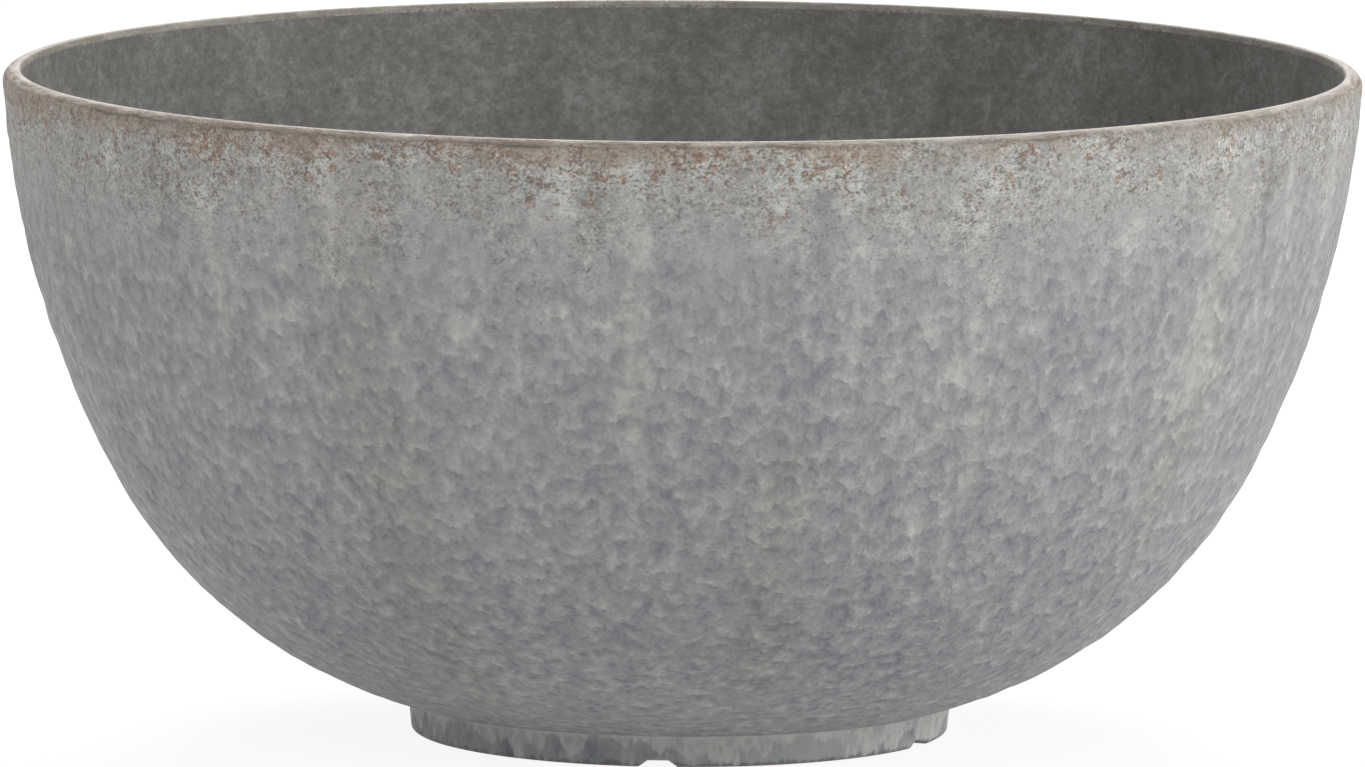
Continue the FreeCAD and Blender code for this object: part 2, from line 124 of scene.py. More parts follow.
# %% The closed section
pieces_of_section = [
    ("underside", run((DRAIN_RADIUS, FLOOR - EDGE_ROUND), (DRAIN_RADIUS, RECESS_HEIGHT + EDGE_ROUND), 3)),
    ("underside", arc((DRAIN_RADIUS + EDGE_ROUND, RECESS_HEIGHT + EDGE_ROUND), EDGE_ROUND, 180, 270, 3)),
    ("underside", run((14.0, RECESS_HEIGHT), (RECESS_RADIUS - RECESS_ROUND, RECESS_HEIGHT), 3)),
    ("underside", arc((RECESS_RADIUS - RECESS_ROUND, RECESS_HEIGHT - RECESS_ROUND), RECESS_ROUND, 90, 0, 4)),
    ("underside", run((RECESS_RADIUS, 2.6), (RECESS_RADIUS, EDGE_ROUND), 2)),
    ("underside", arc((RECESS_RADIUS + EDGE_ROUND, EDGE_ROUND), EDGE_ROUND, 180, 270, 4)),
    ("foot", run((55.6, 0.0), (59.4, 0.0), 3)),
    ("foot", arc((FOOT_RADIUS - FOOT_TAPER - FOOT_ROUND, FOOT_ROUND), FOOT_ROUND, -90, -foot_slope, 5)),
    ("foot", run((61.47, 1.7), (61.9, 6.0), 6)),
    ("foot", arc(joint_middle, JOINT_ROUND, 180 - foot_slope, bearing(joint_middle, LOWER), 4)),
    ("wall", arc(LOWER, LOWER_RADIUS, bearing(LOWER, joint_middle) + 0.4, -SLOPE_JOINT, 44)),
    ("wall", arc(UPPER, UPPER_RADIUS, -SLOPE_JOINT, -SLOPE_TOP, 44)),
    ("wall", arc((RIM_RADIUS - LIP_OUT, HEIGHT - LIP_OUT), LIP_OUT, -SLOPE_TOP, 90, 8)),
    ("wall", arc(nose_middle, LIP_IN, 90, 180 + bearing(UPPER, nose_middle), 5)),
    ("inside", arc(UPPER, UPPER_RADIUS - WALL, bearing(UPPER, nose_middle) - 0.3, -SLOPE_JOINT, 14)),
    ("inside", arc(LOWER, LOWER_RADIUS - WALL, -SLOPE_JOINT, floor_angle, 13)),
    ("inside", run((48.0, FLOOR), (12.0, FLOOR), 4)),
    ("inside", arc((DRAIN_RADIUS + EDGE_ROUND, FLOOR - EDGE_ROUND), EDGE_ROUND, 90, 180, 3)),
]
section = np.concatenate([points for _, points in pieces_of_section])
zone = np.concatenate([[name] * len(points) for name, points in pieces_of_section])
apart = np.linalg.norm(section - np.roll(section, 1, axis=0), axis=1) > 0.01
section, zone = section[apart], zone[apart]
print(len(section), "points in the section:", {name: int((zone == name).sum()) for name in dict(pieces_of_section)})

# %% [markdown]
# ## Carrying the section round
# Turning the section about the upright axis gives a grid: one row for each point, one column for each
# angle. A Screw modifier could do it, but with whole arrays the same grid can be bent afterwards: the
# drain notches lift the foot's edge, and the wall gets the slight waviness of a hand-washed mould.

# %% Angles, with the notch edges on exact columns
COLUMNS = 600
NOTCH_FIRST, NOTCH_PITCH, NOTCH_COUNT = 265.5, 68.0, 5
NOTCH_WIDTH, NOTCH_CROWN, NOTCH_HEIGHT = 9.2, 4.8, 1.5
angles = np.linspace(0.0, 2 * np.pi, COLUMNS, endpoint=False)
notch_middles = np.radians((NOTCH_FIRST + NOTCH_PITCH * np.arange(NOTCH_COUNT)) % 360.0)
half_widths = np.arcsin(np.array([-NOTCH_WIDTH, -NOTCH_CROWN, NOTCH_CROWN, NOTCH_WIDTH]) / 2 / FOOT_RADIUS)
edges = (notch_middles[:, None] + half_widths).ravel() % (2 * np.pi)
angles[np.round(edges / (2 * np.pi) * COLUMNS).astype(int) % COLUMNS] = edges
offset = (angles[:, None] - notch_middles + np.pi) % (2 * np.pi) - np.pi
lift = np.interp(np.abs(offset).min(axis=1), half_widths[2:], [NOTCH_HEIGHT, 0.0])
print("notches at", np.round(np.degrees(notch_middles), 1), "degrees")

# %% Waviness of the wall
SWELL, SINK = 0.10, 2.5  # mm of one swing, and how many swings the skin lies under the solid's face


def waves(theta, along, count, shortest, longest, seed):
    """Sum of slanted cosines, cos(m * theta + k * along + phase), with whole m so that it closes round the bowl."""
    chance = np.random.default_rng(seed)
    length = np.exp(chance.uniform(np.log(shortest), np.log(longest), count))
    turn = chance.uniform(0, 2 * np.pi, count)
    m = np.round(2 * np.pi * MEAN_RADIUS / length * np.cos(turn))
    k = 2 * np.pi / length * np.sin(turn)
    phase = chance.uniform(0, 2 * np.pi, count)
    total = np.zeros(np.broadcast(theta, along).shape)
    for wave in range(count):
        total += np.cos(m[wave] * theta + k[wave] * along + phase[wave])
    return total / math.sqrt(count / 2)


print("a swing of", SWELL, "mm,", SINK, "swings under the face")

# %% Length down the wall, and the skin's relief
step = np.linalg.norm(np.diff(section, axis=0), axis=1)
length_along = np.concatenate([[0.0], np.cumsum(step)])
crest = int(np.argmax(section[:, 1] + 0.001 * section[:, 0]))
below_lip = np.abs(length_along - length_along[crest])
tangent = np.roll(section, -1, axis=0) - np.roll(section, 1, axis=0)
normal = np.stack([tangent[:, 1], -tangent[:, 0]], axis=1)
normal /= np.linalg.norm(normal, axis=1)[:, None]
theta_grid, below_grid = np.meshgrid(angles, below_lip)
outside = (zone == "wall") & (np.arange(len(section)) <= crest)
wall_length = below_lip[np.argmax(outside)]
fade = np.where(outside, np.clip(below_lip / 10, 0, 1) * np.clip((wall_length - below_lip) / 8, 0, 1), 0.0)
hollow = SWELL * (waves(theta_grid, below_grid, 40, 7, 30, seed=5) - SINK) * fade[:, None]
print("wall", round(wall_length, 1), "mm long, relief", round(hollow.min(), 3), "to", round(hollow.max(), 3), "mm")

# %% Places of the grid
radius = section[:, :1] + normal[:, :1] * hollow
height = section[:, 1:] + normal[:, 1:] * hollow
NOTCH_ROOF = 4.0
in_foot = (section[:, 1] < NOTCH_ROOF) & (section[:, 0] > RECESS_RADIUS - 1.0)
lifted = lift[None, :] + height * (NOTCH_ROOF - lift[None, :]) / NOTCH_ROOF
height = np.where(in_foot[:, None], lifted, height)
points = np.stack([radius * np.cos(angles), radius * np.sin(angles), height], axis=2) * UNIT
print("grid of", points.shape[0], "by", points.shape[1], "points")

# %% The bowl's mesh
def closed_grid(name, grid):
    """Mesh of a grid of points whose last row joins its first and whose last column joins its first."""
    rows, columns = grid.shape[:2]
    index = np.arange(rows * columns).reshape(rows, columns)
    right, up = np.roll(index, -1, axis=1), np.roll(index, -1, axis=0)
    quads = np.stack([index, right, np.roll(right, -1, axis=0), up], axis=2).reshape(-1, 4)
    mesh = bpy.data.meshes.new(name)
    mesh.vertices.add(rows * columns)
    mesh.vertices.foreach_set("co", grid.ravel())
    mesh.loops.add(quads.size)
    mesh.loops.foreach_set("vertex_index", quads.ravel())
    mesh.polygons.add(len(quads))
    mesh.polygons.foreach_set("loop_start", np.arange(len(quads)) * 4)
    mesh.update(calc_edges=True)
    mesh.validate()
    mesh.shade_smooth()
    mesh.set_sharp_from_angle(angle=math.radians(38))
    piece = bpy.data.objects.new(name, mesh)
    scene.collection.objects.link(piece)
    return piece


bowl = closed_grid("bowl_skin", points)
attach(bowl, "bowl")
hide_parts("bowl_shell")
print("bowl skin:", len(bowl.data.polygons) * 2, "triangles")

# %% [markdown]
# ## A map that flows down the wall
# Washes and drips run down the wall, whatever way it slopes. A plain position can't say that, so each
# point also stores a flow place: round the bowl on a cylinder of one radius, and down by the distance
# from the lip along the wall. A pattern on it has no seam, and stretching its height gives streaks.
# A cylinder squeezes a pattern toward the narrow foot, so the small drops read a second place that keeps
# the bowl's own radius.

# %% Flow place, and place of the drops
def flow_place(name, radii):
    """Stores on each point (radius * cos a, radius * sin a, distance below the lip), in metres."""
    place = np.stack([radii * np.cos(theta_grid), radii * np.sin(theta_grid), below_grid], axis=2) * UNIT
    layer = bowl.data.attributes.new(name, "FLOAT_VECTOR", "POINT")
    layer.data.foreach_set("vector", place.ravel())
    print(name, "from", place.min(axis=(0, 1)).round(3), "to", place.max(axis=(0, 1)).round(3))


flow_place("flow", MEAN_RADIUS)
flow_place("drop_place", section[:, :1])

# %% [markdown]
# ## Where the washes ran
# Noise alone would spread the wash evenly, but on this bowl it ran down in places of its own: pale runs
# with a blunt end, dim stains under the lip, broad warm columns, and rust where the lip wore through.
# Each is written down as an upright mark with a middle, a half width, a start and an end, and stored
# on the points as a soft value. The shaders break its outline up. The unseen side gets marks by chance.

# %% Upright marks
def marks(table, spread):
    """Greatest of the marks: strength * exp(-(angle off / half width) ** 2), faded over spread mm at each end."""
    total = np.zeros_like(theta_grid)
    for middle, half, start, end, strength in table:
        across = (np.degrees(theta_grid) - middle + 180) % 360 - 180
        sway = across + 0.4 * np.sin(below_grid / 9 + middle)
        enter = np.clip((below_grid - start) / spread + 0.5, 0, 1)
        leave = np.clip((end + 2 * np.cos(3 * across) - below_grid) / spread + 0.5, 0, 1)
        total = np.maximum(total, strength * np.exp(-(sway / half) ** 2) * enter * leave)
    return total


def store(name, values):
    """One number for each point of the bowl, kept to the outer wall."""
    layer = bowl.data.attributes.new(name, "FLOAT", "POINT")
    layer.data.foreach_set("value", (values * outside[:, None]).ravel())


print("marks can be placed on", int(outside.sum()), "rows of the outer wall")

# %% Marks on the front, listed one by one
# middle and half width in degrees, start and end in mm below the lip, strength
PALE = [(203.5, 2.2, 6, 46, 0.6), (226.5, 2.6, 4, 42, 0.8), (227.0, 1.0, 38, 88, 0.5), (239.5, 1.7, 4, 58, 0.6),
        (250.5, 2.6, 38, 60, 0.6), (260.5, 1.6, 4, 46, 0.5), (266.0, 1.9, 4, 84, 0.9), (278.0, 1.3, 4, 42, 0.5),
        (284.8, 1.8, 4, 60, 0.8), (296.5, 2.6, 4, 62, 0.9), (297.3, 1.2, 50, 106, 0.9), (322.5, 4.2, 4, 71, 0.85),
        (333.0, 1.2, 4, 46, 0.6), (343.0, 3.0, 4, 42, 0.7), (258.5, 3.2, 100, 118, 0.6), (247.0, 2.2, 122, 134, 0.5),
        (292.0, 5.0, 92, 112, 0.45), (315.0, 3.0, 99, 112, 0.4), (310.0, 3.0, 4, 34, 0.6), (213.0, 3.5, 6, 34, 0.5)]
DIM = [(221.5, 1.7, 4, 34, 0.8), (233.5, 3.0, 8, 48, 0.7), (245.5, 2.0, 6, 38, 0.7), (243.5, 3.2, 52, 70, 0.7),
       (241.0, 4.0, 84, 102, 0.5), (240.5, 4.5, 126, 150, 0.8), (256.0, 2.2, 22, 50, 0.5), (263.8, 1.0, 4, 26, 0.7),
       (270.5, 2.4, 12, 38, 0.7), (282.0, 1.7, 3, 32, 1.0), (292.0, 1.1, 4, 32, 0.5), (302.0, 1.3, 8, 40, 0.4),
       (317.0, 1.6, 8, 46, 0.7), (329.0, 1.3, 4, 42, 0.6), (336.5, 1.9, 12, 46, 0.6), (281.0, 4.5, 116, 150, 0.7),
       (286.5, 5.0, 58, 78, 0.5), (202.5, 3.2, 66, 125, 0.6), (322.0, 5.5, 112, 142, 0.5)]
WARM = [(204.0, 3.0, 20, 180, 0.7), (241.5, 4.8, 12, 180, 1.0), (279.5, 3.8, 66, 180, 1.0), (324.0, 4.4, 12, 180, 0.8),
        (227.0, 1.4, 18, 92, 0.6), (266.0, 1.7, 18, 86, 0.6), (297.3, 1.4, 56, 94, 0.6), (260.0, 5.0, 96, 120, 0.5)]
RUST = [(196.0, 13.0, 0, 10, 1.0), (215.0, 9.0, 0, 8, 0.9), (228.0, 5.0, 0, 11, 1.0), (238.0, 6.0, 0, 9, 0.9),
        (249.0, 4.0, 0, 8, 0.8), (256.0, 4.0, 0, 10, 0.8), (263.0, 3.5, 0, 12, 0.8), (270.0, 4.0, 0, 10, 0.75),
        (281.0, 6.0, 0, 9, 0.8), (300.0, 8.0, 0, 6, 0.45), (325.0, 10.0, 0, 6, 0.35), (345.0, 8.0, 0, 6, 0.4)]
print("front:", {"pale": len(PALE), "dim": len(DIM), "warm": len(WARM), "rust": len(RUST)})

# %% Marks on the back, placed by chance
chance = np.random.default_rng(11)
for angle in np.arange(-5, 190, 6.5):
    turn, start, tall = angle + chance.uniform(-2, 2), chance.uniform(4, 9), chance.uniform(25, 75)
    table = (PALE, DIM)[int(chance.integers(2))]
    table.append((turn, chance.uniform(1.2, 3.2), start, start + tall, chance.uniform(0.4, 0.95)))
    RUST.append((angle, chance.uniform(4, 9), 0, chance.uniform(5, 11), chance.uniform(0.3, 0.9)))
WARM += [(angle + chance.uniform(-4, 4), chance.uniform(3, 5), 14, 180, 0.9) for angle in (2, 45, 84, 125, 163)]
for name, table, spread in (("pale", PALE, 5.0), ("dim", DIM, 9.0), ("warm", WARM, 16.0), ("rust", RUST, 5.0)):
    store(name, marks(table, spread))
print("in all:", {"pale": len(PALE), "dim": len(DIM), "warm": len(WARM), "rust": len(RUST)})

# %% [markdown]
# ## Small tools for shader nodes
# A finish is a graph of nodes. Written out one by one the graph gets long, so a few short functions
# make a node, set its inputs and hand back the socket to use next. Colours are written as the numbers
# a picture program shows, 0 to 255, and turned into light here.

# %% Colour and node helpers
def tone(red, green, blue):
    """Linear colour of a display colour: ((c + 0.055) / 1.055) ** 2.4, or c / 12.92 for the darkest."""
    c = np.array([red, green, blue]) / 255.0
    linear = np.where(c > 0.04045, ((c + 0.055) / 1.055) ** 2.4, c / 12.92)
    return (*linear.tolist(), 1.0)


def put(tree, kind, inputs=(), **settings):
    """Makes a node, applies its settings, and sets or links each numbered or named input."""
    node = tree.nodes.new(kind)
    for key, value in settings.items():
        setattr(node, key, value)
    for key, value in dict(inputs).items():
        if isinstance(value, bpy.types.NodeSocket):
            tree.links.new(value, node.inputs[key])
        else:
            node.inputs[key].default_value = value
    return node


def stored(tree, name, kind="Fac"):
    """What the points of the bowl carry under a name: a number (Fac) or a place (Vector)."""
    return put(tree, "ShaderNodeAttribute", attribute_name=name).outputs[kind]


print("a middle grey of 128 is", round(tone(128, 128, 128)[0], 3), "as light")

# %% Helpers for values
def calc(tree, operation, first, second=0.0):
    """One step of arithmetic on two values."""
    return put(tree, "ShaderNodeMath", {0: first, 1: second}, operation=operation).outputs[0]


def add(tree, *parts):
    """Sum of values."""
    total = parts[0]
    for part in parts[1:]:
        total = calc(tree, "ADD", total, part)
    return total


def times(tree, *factors):
    """Product of values."""
    total = factors[0]
    for factor in factors[1:]:
        total = calc(tree, "MULTIPLY", total, factor)
    return total


def swing(tree, value, amount):
    """A noise moved to swing about zero: (value - 0.5) * amount."""
    return calc(tree, "MULTIPLY", calc(tree, "SUBTRACT", value, 0.5), amount)


def ease(tree, value, low, high, start=0.0, end=1.0):
    """Smooth step from start, where the value is low, to end, where it is high."""
    inputs = {"Value": value, "From Min": low, "From Max": high, "To Min": start, "To Max": end}
    return put(tree, "ShaderNodeMapRange", inputs, interpolation_type="SMOOTHSTEP").outputs[0]


print("helpers for values:", [helper.__name__ for helper in (calc, add, times, swing, ease)])

# %% Helpers for mixes and ramps
def blend(tree, factor, first, second, kind="MIX"):
    """Colour mix: first where the factor is 0, second where it is 1."""
    inputs = {0: factor, 6: first, 7: second}
    return put(tree, "ShaderNodeMix", inputs, data_type="RGBA", blend_type=kind).outputs[2]


def ramp(tree, value, tones):
    """Colour that runs evenly through the tones as the value goes from 0 to 1."""
    node = put(tree, "ShaderNodeValToRGB", {0: value})
    stops = node.color_ramp.elements
    for extra in tones[2:]:
        stops.new(0.5)
    for place, colour in enumerate(tones):
        stops[place].position = place / (len(tones) - 1)
        stops[place].color = colour
    return node.outputs[0]


print("helpers for colours:", [helper.__name__ for helper in (blend, ramp)])

# %% Helpers for patterns
def cloud(tree, place, scale, detail=3.0, roughness=0.55, twist=0.0):
    """Fractal noise of about 1 / scale metres, with more fine detail as detail and roughness rise."""
    inputs = {"Vector": place, "Scale": scale, "Detail": detail, "Roughness": roughness, "Distortion": twist}
    return put(tree, "ShaderNodeTexNoise", inputs).outputs["Fac"]


def stretch(tree, place, across, down):
    """Flow place with its heights multiplied, so that small numbers pull a pattern into streaks."""
    return put(tree, "ShaderNodeMapping", {"Vector": place, "Scale": (across, across, down)}).outputs[0]


print("helpers for patterns:", [helper.__name__ for helper in (cloud, stretch)])

# %% Helpers for groups and materials
def new_group(name, inputs, outputs):
    """Empty node group with named sockets; returns its tree, its input sockets and its output node."""
    tree = bpy.data.node_groups.new(name, "ShaderNodeTree")
    for socket, kind, value in inputs:
        made = tree.interface.new_socket(socket, in_out="INPUT", socket_type="NodeSocket" + kind)
        if value is not None:
            made.default_value = value
    for socket in outputs:
        tree.interface.new_socket(socket, in_out="OUTPUT", socket_type="NodeSocketFloat")
    return tree, tree.nodes.new("NodeGroupInput").outputs, tree.nodes.new("NodeGroupOutput")


def use(tree, group, inputs):
    """Places a group in a material and returns its outputs."""
    return put(tree, "ShaderNodeGroup", inputs, node_tree=group).outputs


def new_material(name):
    """Material with an empty Principled shader; returns it, its tree and the shader."""
    material = bpy.data.materials.new(name)
    material.use_nodes = True
    return material, material.node_tree, material.node_tree.nodes["Principled BSDF"]


def feel(tree, shader, rough, relief, strength, distance):
    """Touch of a finish: its roughness, and a bump of strength times distance metres for each unit of relief."""
    tree.links.new(rough, shader.inputs["Roughness"])
    bump = put(tree, "ShaderNodeBump", {"Height": relief, "Strength": strength, "Distance": distance})
    tree.links.new(bump.outputs[0], shader.inputs["Normal"])


print("helpers for finishes:", [helper.__name__ for helper in (new_group, use, new_material, feel)])

# %% [markdown]
# ## Hanging wash
# The wash on the wall dried as thousands of small drops that hang: soft above, with a crisp pale edge
# below. Plain noise has no up or down. If each point reads the noise from a little higher up where the
# noise is strong, its hills lean down the wall, like waves before they break. Doing it again makes the
# lower edges steep. Lean says how far, in sizes of the noise.

# %% Group: hanging wash
hanging_wash, given, result = new_group(
    "hanging_wash", [("Vector", "Vector", None), ("Scale", "Float", 330.0), ("Lean", "Float", 1.6)], ["Value"])
reach = calc(hanging_wash, "DIVIDE", given["Lean"], given["Scale"])
value = cloud(hanging_wash, given["Vector"], given["Scale"], 2.0, 0.55)
for repeat in range(3):
    drop = times(hanging_wash, calc(hanging_wash, "SUBTRACT", 0.5, value), reach)
    drop = put(hanging_wash, "ShaderNodeCombineXYZ", {"Z": drop}).outputs[0]
    higher = put(hanging_wash, "ShaderNodeVectorMath", {0: given["Vector"], 1: drop}, operation="ADD").outputs[0]
    value = cloud(hanging_wash, higher, given["Scale"], 2.0, 0.55)
hanging_wash.links.new(value, result.inputs["Value"])
print("hanging wash ready")

# %% [markdown]
# ## Fine flecks
# Near the lip the pale wash crawled while it dried and left a speckle of half a millimetre, with gaps
# where the dark body shows. Both come from one fine noise: taken as it is it makes the speckle, and its
# lowest values are the gaps. A coarser noise gathers them in clumps, and Cover says how many are left.

# %% Group: fine flecks
fine_flecks, given, result = new_group(
    "fine_flecks", [("Vector", "Vector", None), ("Scale", "Float", 1700.0), ("Cover", "Float", 0.5)],
    ["Speckle", "Gaps"])
speck = cloud(fine_flecks, given["Vector"], given["Scale"], 2.0, 0.6)
clump = cloud(fine_flecks, given["Vector"], times(fine_flecks, given["Scale"], 0.33), 2.0, 0.55)
speck = add(fine_flecks, swing(fine_flecks, speck, 1.25), swing(fine_flecks, clump, 0.75))
rare = add(fine_flecks, times(fine_flecks, given["Cover"], -0.14), 0.28)
gaps = ease(fine_flecks, add(fine_flecks, speck, rare), 0.0, -0.06)
gaps = times(fine_flecks, gaps, ease(fine_flecks, given["Cover"], 0.0, 0.15))
fine_flecks.links.new(times(fine_flecks, speck, given["Cover"]), result.inputs["Speckle"])
fine_flecks.links.new(gaps, result.inputs["Gaps"])
print("fine flecks ready")

# %% [markdown]
# ## Fine grain
# Stone composite has a sandy grain and moulded plastic a fine spark texture. Both are one idea at two
# scales, so they share a group that gives a value from 0 to 1 for roughness, colour and bump.

# %% Group: fine grain
fine_grain, given, result = new_group(
    "fine_grain", [("Vector", "Vector", None), ("Scale", "Float", 900.0)], ["Value"])
sand = cloud(fine_grain, given["Vector"], given["Scale"], 3.0, 0.7)
fine_grain.links.new(ease(fine_grain, sand, 0.3, 0.7), result.inputs["Value"])
print("fine grain ready")

# %% [markdown]
# ## The outer wall's wash
# One number tells most of this finish: how thick the pale wash lies. Where it is thin the blue-grey body
# shows, and where it is thick the wall is a pale neutral grey. Clouds, hanging drops, the band under the
# lip, soft streaks, the pale runs and the dim stains are all added up into that thickness, and a ramp of
# tones turns it into colour. Rust, a tan film and the worn lip then go on top, as on the real bowl.

# %% Material: outer wall, patterns of the wash
wall_wash, tree, shader = new_material("weathered_wash")
place = stored(tree, "flow", "Vector")
below = put(tree, "ShaderNodeSeparateXYZ", {0: place}).outputs["Z"]
pale, dim, warm, rust = [stored(tree, name) for name in ("pale", "dim", "warm", "rust")]
broad = cloud(tree, place, 34.0, 3.0, 0.6)
mottle = cloud(tree, place, 125.0, 4.0, 0.62)
streak = cloud(tree, stretch(tree, place, 1.0, 0.12), 120.0, 3.0, 0.6)
patches = cloud(tree, place, 75.0, 3.0, 0.6)
own = stored(tree, "drop_place", "Vector")
drops = use(tree, hanging_wash, {"Vector": stretch(tree, own, 1.0, 0.85), "Scale": 320.0, "Lean": 1.4})["Value"]
small_drops = use(tree, hanging_wash, {"Vector": stretch(tree, own, 1.0, 0.9), "Scale": 850.0, "Lean": 1.4})["Value"]
hanging = add(tree, swing(tree, drops, 1.5), swing(tree, small_drops, 0.55))
hanging = times(tree, hanging, ease(tree, below, 0.014, 0.045, 0.35, 1.0), ease(tree, below, 0.06, 0.12, 1.0, 1.1))
hanging = times(tree, hanging, ease(tree, pale, 0.3, 0.9, 1.0, 0.6))
print("patterns of the wash on", wall_wash.name)

# %% Thickness of the wash
hem = add(tree, below, swing(tree, streak, 0.07), swing(tree, mottle, 0.03))
band = ease(tree, hem, 0.018, 0.044, 0.155, 0.0)
ragged = add(tree, swing(tree, mottle, 1.6), swing(tree, streak, 0.9), swing(tree, drops, 0.6))
runs = ease(tree, add(tree, times(tree, pale, 0.85), ragged), 0.3, 1.0, 0.0, 0.28)
stains = ease(tree, calc(tree, "SUBTRACT", times(tree, dim, 0.75), ragged), 0.3, 1.0, 0.0, 0.2)
reach = add(tree, below, swing(tree, patches, 0.04), swing(tree, streak, 0.03))
cover = times(tree, ease(tree, reach, 0.003, 0.05, 1.0, 0.0), ease(tree, mottle, 0.4, 0.58, 0.6, 1.0))
flecks = use(tree, fine_flecks, {"Vector": place, "Scale": 1700.0, "Cover": cover})
clouds = add(tree, swing(tree, mottle, 0.5), swing(tree, broad, 0.3))
clouds = times(tree, clouds, ease(tree, below, 0.015, 0.05, 0.65, 1.0))
streaks = times(tree, swing(tree, streak, 0.5), ease(tree, below, 0.05, 0.1, 1.0, 0.25))
# The first term darkens the wall from 60 to 140 mm below the lip: painted shade on the lower wall, which faces down.
thick = add(tree, ease(tree, below, 0.06, 0.14, 0.5, 0.41), hanging, clouds, streaks, band, runs,
            times(tree, stains, -1.0), times(tree, flecks["Speckle"], 1.8))
thick = times(tree, thick, 0.667)
colour = ramp(tree, thick, [tone(100, 102, 108), tone(132, 133, 134), tone(165, 165, 161), tone(194, 193, 189)])
worn = ramp(tree, thick, [tone(88, 79, 71), tone(129, 127, 122), tone(167, 167, 162), tone(197, 195, 189)])
colour = blend(tree, ease(tree, reach, 0.004, 0.03, 0.95, 0.0), colour, worn)
glow = add(tree, warm, swing(tree, broad, 0.8))
colour = blend(tree, ease(tree, glow, 0.2, 0.95, 0.0, 0.25), colour, tone(150, 143, 131), kind="COLOR")
print("thickness of the wash on", wall_wash.name)

# %% [markdown]
# Near the lip the wash is worn through. Rust shows as small ragged spots where a fine noise passes an
# edge that the stored rust marks lower, a tan film tints the topmost millimetres, and the gaps between
# the flecks show the dark body. Each is a mask that mixes one more tone over the colour so far.

# %% Rust, tan film and gaps near the lip
rust_noise = add(tree, cloud(tree, place, 520.0, 4.0, 0.65, 0.3), times(tree, flecks["Speckle"], -0.3))
rusty = calc(tree, "MAXIMUM", rust, ease(tree, below, 0.006, 0.032, 0.22, 0.0))
rust_edge = calc(tree, "SUBTRACT", 0.64, add(tree, times(tree, rusty, 0.16), swing(tree, mottle, 0.35)))
rust_mask = ease(tree, calc(tree, "SUBTRACT", rust_noise, rust_edge), -0.04, 0.05)
rust_mask = times(tree, rust_mask, ease(tree, rusty, 0.0, 0.15))
rust_tone = blend(tree, ease(tree, thick, 0.2, 0.7), tone(106, 80, 60), tone(142, 116, 95))
colour = blend(tree, times(tree, rust_mask, 0.75), colour, rust_tone)
film = add(tree, below, swing(tree, mottle, 0.022), swing(tree, patches, 0.02))
film = times(tree, ease(tree, film, 0.0025, 0.0085, 1.0, 0.0), ease(tree, rust, 0.0, 0.5, 0.2, 0.5))
colour = blend(tree, film, colour, tone(138, 121, 104), kind="COLOR")
colour = blend(tree, times(tree, film, 0.45), colour, tone(132, 117, 102))
gap_tone = blend(tree, ease(tree, rust, 0.05, 0.6), tone(100, 95, 88), tone(106, 82, 64))
colour = blend(tree, times(tree, flecks["Gaps"], 0.8), colour, gap_tone)
print("rust, film and gaps on", wall_wash.name)

# %% [markdown]
# Hands and weather rub the lip, so its round is smoother and browner. The pale line on the crest is partly
# rubbed wear and partly a painted highlight, and the thin dark line just below the round is painted shade,
# strongest where the lip rusts. Relief comes last: the same drops and gaps that colour the wall raise and
# sink it a little, so light and colour agree.

# %% Lip, grain and relief of the outer wall
edge = add(tree, below, swing(tree, mottle, 0.003))
lip_noise = cloud(tree, stretch(tree, place, 0.4, 2.0), 240.0, 4.0, 0.65)
lip_dark = blend(tree, ease(tree, rust, 0.1, 0.5), tone(146, 137, 127), tone(106, 85, 68))
lip_tone = blend(tree, ease(tree, lip_noise, 0.45, 0.62), lip_dark, tone(178, 171, 162))
colour = blend(tree, ease(tree, edge, 0.0015, 0.0027, 0.75, 0.0), colour, lip_tone)
# Painted shade: a thin dark line just below the lip's round, strongest where the lip rusts.
shade_under_lip = times(tree, ease(tree, edge, 0.0022, 0.0026), ease(tree, edge, 0.0028, 0.0034, 1.0, 0.0))
shade_under_lip = times(tree, shade_under_lip, ease(tree, lip_noise, 0.4, 0.6, 0.85, 0.1), ease(tree, rust, 0.15, 0.5, 0.1, 1.0))
colour = blend(tree, shade_under_lip, colour, tone(78, 71, 66))
# Pale line on the crest: partly rubbed wear, partly a painted highlight of the round catching light.
colour = blend(tree, ease(tree, below, 0.0004, 0.001, 0.35, 0.0), colour, tone(186, 178, 168))
grain = use(tree, fine_grain, {"Vector": place, "Scale": 1500.0})["Value"]
colour = blend(tree, 0.06, colour, blend(tree, grain, tone(90, 90, 92), tone(200, 200, 198)))
tree.links.new(colour, shader.inputs["Base Color"])
relief = add(tree, times(tree, hanging, 4.0), times(tree, grain, 0.08), times(tree, flecks["Gaps"], -0.6))
feel(tree, shader, ease(tree, grain, 0.0, 1.0, 0.62, 0.82), relief, 0.5, 0.0003)
print("lip, grain and relief on", wall_wash.name)

# %% [markdown]
# ## The foot
# The foot took a thinner, darker wash. From the step under the wall the pale wash ran down over it in
# tongues with round ends. A tongue ends where a smooth noise round the foot, taken as a height, drops
# below the point, so the ends are as round as the noise is smooth. The lowest edge gets a dark, broken
# band of painted shade, where the foot turns under to the floor.

